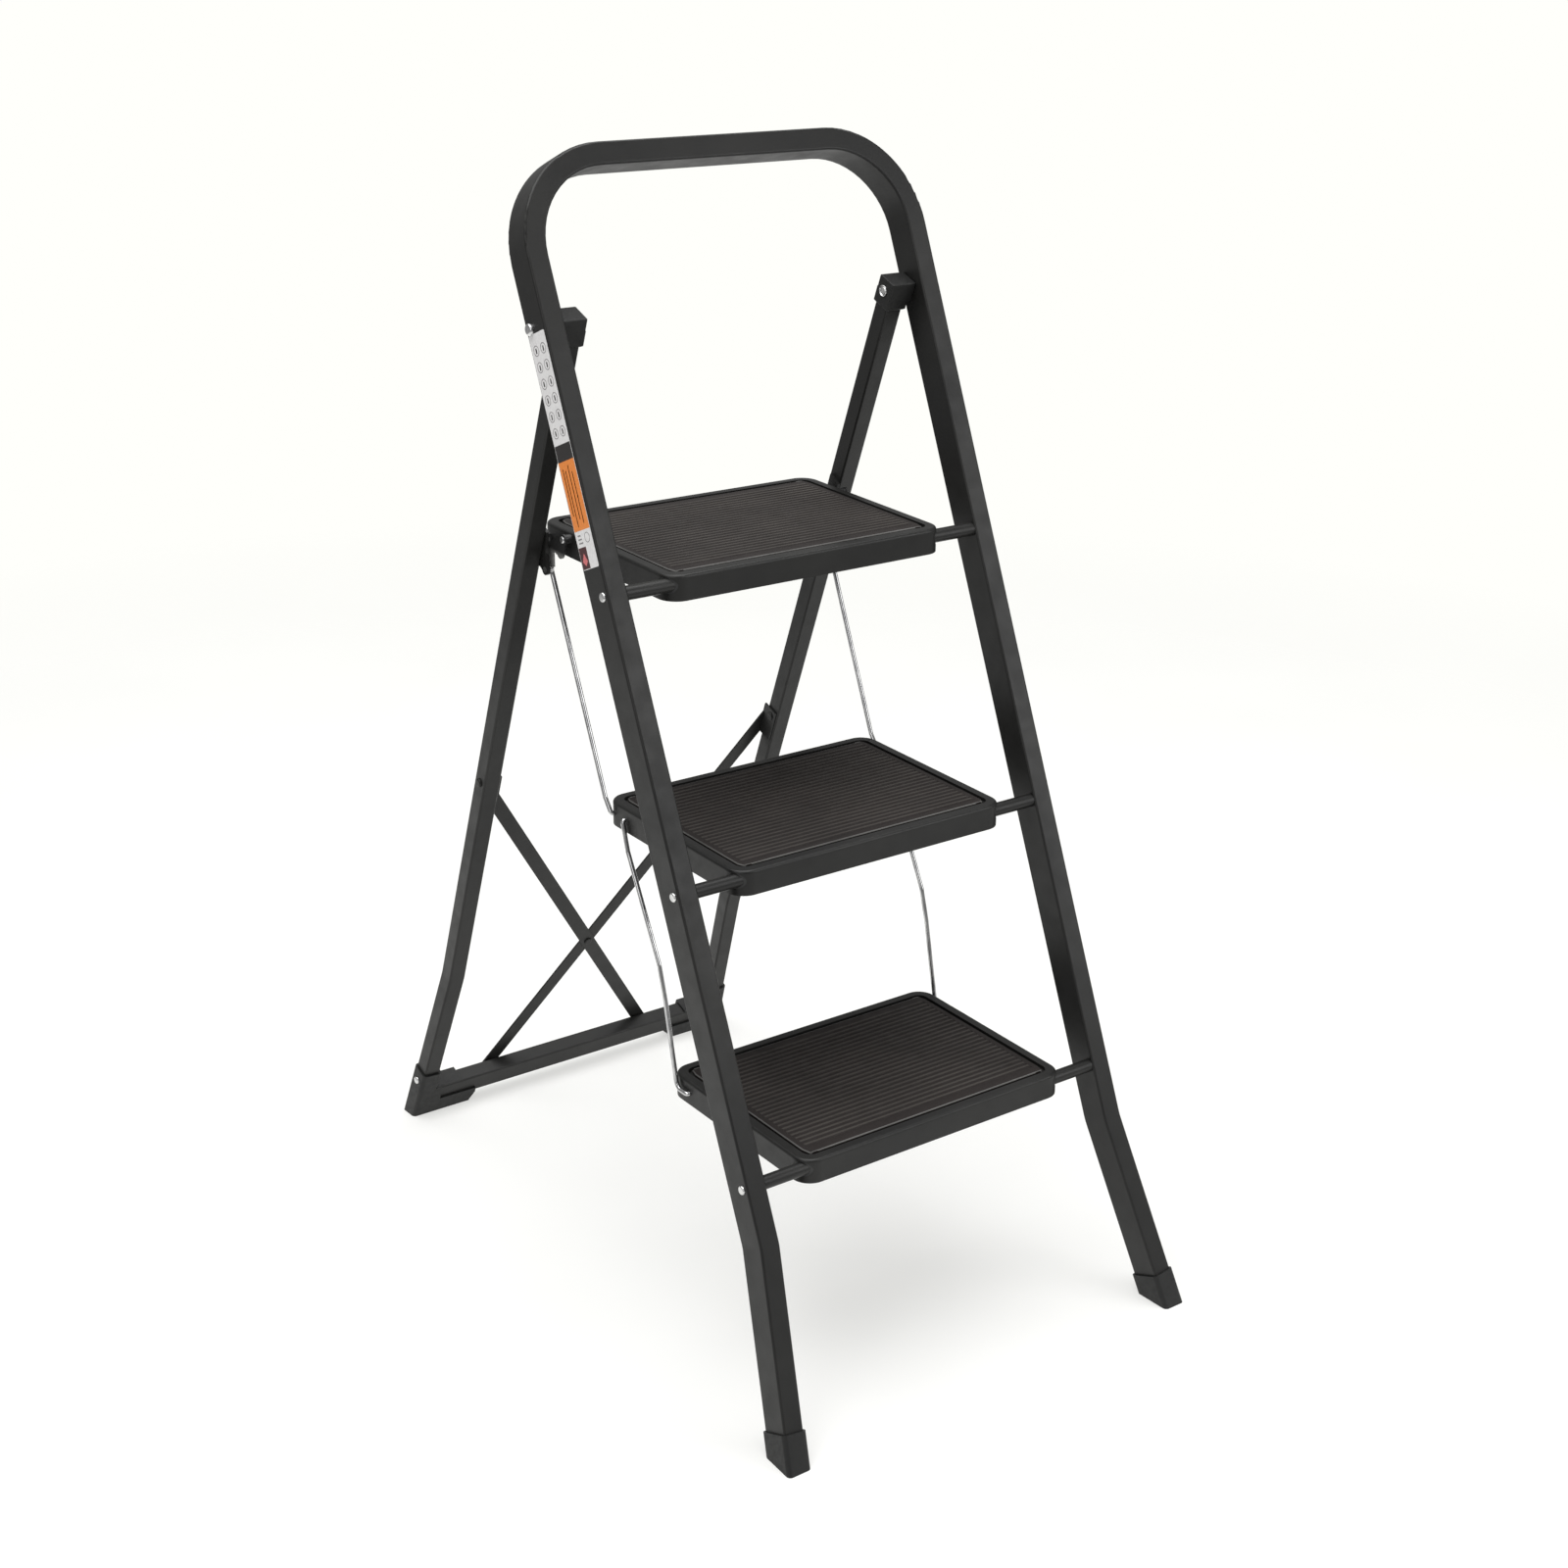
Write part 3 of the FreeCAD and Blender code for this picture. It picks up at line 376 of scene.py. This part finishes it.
# ---- label -------------------------------------------------------------------
def printed_label():
    """Film on the left rail with a generic print: rings, colour bands and bars."""
    low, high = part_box("rail_label")
    centre = (low + high) / 2
    along = Vector((0, math.sin(FRONT_LEAN), math.cos(FRONT_LEAN)))
    back = Vector((0, math.cos(FRONT_LEAN), -math.sin(FRONT_LEAN)))
    film = Vector((high.x, centre.y, centre.z))
    half = Vector((LABEL_WIDTH / 2, LABEL_LENGTH / 2))
    inks_used = ["film"] + sorted(inks)

    def place(u, v, lift):
        return film + back * u + along * v + Vector((-lift, 0, 0))

    def patch(bm, ink, outline, thick):
        """Flat shape lifted off the rail: outline as (across, along) points."""
        bottom = [bm.verts.new(place(u, v, 0.02 * MM)) for u, v in outline]
        lid = [bm.verts.new(place(u, v, thick)) for u, v in outline]
        faces = [bm.faces.new(lid), bm.faces.new(list(reversed(bottom)))]
        for i in range(len(outline)):
            j = (i + 1) % len(outline)
            faces.append(bm.faces.new((bottom[i], bottom[j], lid[j], lid[i])))
        for face in faces:
            face.material_index = inks_used.index(ink)

    def bar(bm, ink, u0, u1, v0, v1):
        """Upright bar, in millimetres from the middle line and the lower end."""
        outline = [(u * MM, v * MM - half.y) for u, v in ((u0, v0), (u1, v0), (u1, v1), (u0, v1))]
        patch(bm, ink, outline, PRINT_LIFT)

    def ring(bm, u, v, radius, width):
        """Round sign without a picture, as short straight bars, in millimetres."""
        sides = 20
        for i in range(sides):
            a = 2 * math.pi * i / sides
            b = 2 * math.pi * (i + 1) / sides
            corners = ((radius, a), (radius, b), (radius - width, b), (radius - width, a))
            outline = [((u + r * math.cos(t)) * MM, (v + r * math.sin(t)) * MM - half.y)
                       for r, t in corners]
            patch(bm, "grey", outline, PRINT_LIFT)

    def build(bm):
        film_outline = []
        for cu, cv, turn in ((1, -1, -90), (1, 1, 0), (-1, 1, 90), (-1, -1, 180)):
            for part in range(5):
                a = math.radians(turn + part * 22.5)
                film_outline.append((cu * (half.x - LABEL_CORNER) + LABEL_CORNER * math.cos(a),
                                     cv * (half.y - LABEL_CORNER) + LABEL_CORNER * math.sin(a)))
        patch(bm, "film", film_outline, FILM_THICK)
        colour_bands(bm)
        sign_panel(bm)
        small_print(bm)

    def colour_bands(bm):
        edge = half.x / MM - LABEL_MARGIN / MM
        bar(bm, "black", -edge, edge, *BLACK_BAND)
        bar(bm, "orange", -edge, edge, *ORANGE_BAND)
        side = BROWN_LINE_WIDTH / 2
        for u, v0, v1 in BROWN_LINES:
            middle = (v0 + v1) / 2
            bar(bm, "brown", u - side, u + side, v0, v1)
            bar(bm, "orange", u - side - 0.2, u + side + 0.2, middle, middle + LINE_BREAK)
        bar(bm, "maroon", MAROON_BLOCK[0], edge, MAROON_BLOCK[1], MAROON_BLOCK[2])
        patch(bm, "pink", [(u * MM, v * MM - half.y) for u, v in LOZENGE], PRINT_LIFT + 0.03 * MM)

    def sign_panel(bm):
        """Two columns of plain rings, each round a short upright bar."""
        for row in range(SIGN_ROWS):
            v = SIGN_START + row * SIGN_PITCH
            for u in (-SIGN_ACROSS, SIGN_ACROSS):
                ring(bm, u, v, SIGN_RADIUS, 0.7)
                bar(bm, "black", u - 0.9, u + 0.9, v - 2.4, v + 2.0)

    def small_print(bm):
        """A ring and three short bars on the white field above the block."""
        ring(bm, -5.5, 26.0, 4.4, 0.6)
        for row in range(3):
            v = 22.0 + row * 3.2
            bar(bm, "grey", 3.0 + row, 10.0, v, v + 1.2)

    piece = mesh_object("rail_label_print", build, materials["label_film"], 30)
    for ink in inks_used[1:]:
        piece.data.materials.append(inks[ink])
    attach(piece, "root")
    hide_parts("rail_label")


# ---- frame materials ---------------------------------------------------------
materials = {
    "black_paint": powder_paint(),
    "black_plastic": moulded_plastic(),
    "tread_rubber": tread_rubber(),
    "bush_nylon": nylon(),
    "zinc_steel": bright_zinc(),
    "latch_steel": worn_hook_plate(),
    "link_wire": bright_wire(),
    "label_film": print_ink("label_film", (0.76, 0.75, 0.75), (0.84, 0.83, 0.83)),
}
# Lighter rubber for the painted highlight on the rib crests.
rib_crest_highlight = crest_highlight_rubber()
# Pale rubber for the painted highlight along the mat's edge.
mat_edge_highlight = edge_highlight_rubber()
inks = {
    "grey": print_ink("ink_grey", (0.20, 0.19, 0.20), (0.28, 0.27, 0.27)),
    "black": print_ink("ink_black", (0.010, 0.008, 0.008), (0.016, 0.012, 0.012)),
    "orange": print_ink("ink_orange", (0.80, 0.23, 0.035), (0.88, 0.28, 0.045)),
    "brown": print_ink("ink_brown", (0.30, 0.05, 0.012), (0.38, 0.07, 0.018)),
    "maroon": print_ink("ink_maroon", (0.045, 0.006, 0.008), (0.065, 0.010, 0.012)),
    "pink": print_ink("ink_pink", (0.62, 0.14, 0.15), (0.72, 0.20, 0.20)),
}


def finish_nodes():
    for part in frame["record"]["subparts"]:
        for holder in nodes[part["node"]].material_slots:
            holder.material = materials[part["material_slot"]]


# ---- studio ------------------------------------------------------------------
def studio_floor():
    def build(bm):
        bmesh.ops.create_circle(bm, cap_ends=True, radius=FLOOR_FADE[1], segments=96)

    floor = mesh_object("studio_floor", build, floor_paper())


def soft_light(name, at, size, power):
    """Area light aimed at the middle of the stool."""
    data = bpy.data.lights.new(name, "AREA")
    data.shape = "RECTANGLE"
    data.size = size[0]
    data.size_y = size[1]
    data.energy = power
    light = bpy.data.objects.new(name, data)
    light.location = at
    aim = LIGHT_TARGET - Vector(at)
    light.rotation_euler = aim.to_track_quat("-Z", "Y").to_euler()
    bpy.context.scene.collection.objects.link(light)


def studio_lights():
    """White surroundings for the camera, dimmer ones for the light they give."""
    world = bpy.data.worlds.new("studio_world")
    world.use_nodes = True
    tree = world.node_tree
    backdrop = tree.nodes["Background"]
    backdrop.inputs["Color"].default_value = (1.0, 1.0, 0.965, 1)
    backdrop.inputs["Strength"].default_value = 1.0
    ambient = tree.nodes.new("ShaderNodeBackground")
    ambient.inputs["Color"].default_value = (1.0, 1.0, 0.99, 1)
    ambient.inputs["Strength"].default_value = AMBIENT_STRENGTH
    path = tree.nodes.new("ShaderNodeLightPath")
    mix = tree.nodes.new("ShaderNodeMixShader")
    tree.links.new(path.outputs["Is Camera Ray"], mix.inputs[0])
    tree.links.new(ambient.outputs[0], mix.inputs[1])
    tree.links.new(backdrop.outputs[0], mix.inputs[2])
    tree.links.new(mix.outputs[0], tree.nodes["World Output"].inputs["Surface"])
    bpy.context.scene.world = world
    soft_light("overhead", (-0.2, 0.1, 3.3), (3.4, 3.4), OVERHEAD_WATTS)
    soft_light("front_right", (1.5, -2.2, 1.5), (1.5, 1.5), FRONT_RIGHT_WATTS)
    soft_light("front_left", (-2.4, -1.6, 1.9), (1.2, 1.8), FRONT_LEFT_WATTS)


def studio_camera():
    forward = Vector((math.sin(CAMERA_YAW) * math.cos(CAMERA_PITCH),
                      math.cos(CAMERA_YAW) * math.cos(CAMERA_PITCH), math.sin(CAMERA_PITCH)))
    level_right = Vector((math.cos(CAMERA_YAW), -math.sin(CAMERA_YAW), 0))
    level_up = level_right.cross(forward)
    right = math.cos(CAMERA_ROLL) * level_right + math.sin(CAMERA_ROLL) * level_up
    up = math.cos(CAMERA_ROLL) * level_up - math.sin(CAMERA_ROLL) * level_right
    data = bpy.data.cameras.new("camera")
    data.sensor_width = 36
    data.lens = CAMERA_LENS
    data.shift_x, data.shift_y = CAMERA_SHIFT
    data.clip_end = 60
    camera = bpy.data.objects.new("camera", data)
    camera.matrix_world = Matrix((right, up, -forward)).transposed().to_4x4()
    camera.location = CAMERA_AT
    bpy.context.scene.collection.objects.link(camera)
    bpy.context.scene.camera = camera


# ---- build -------------------------------------------------------------------
finish_nodes()
for step in ("top", "middle", "bottom"):
    ribbed_mat(step)
printed_label()
studio_floor()
studio_lights()
studio_camera()
bpy.context.scene.view_settings.view_transform = "Standard"
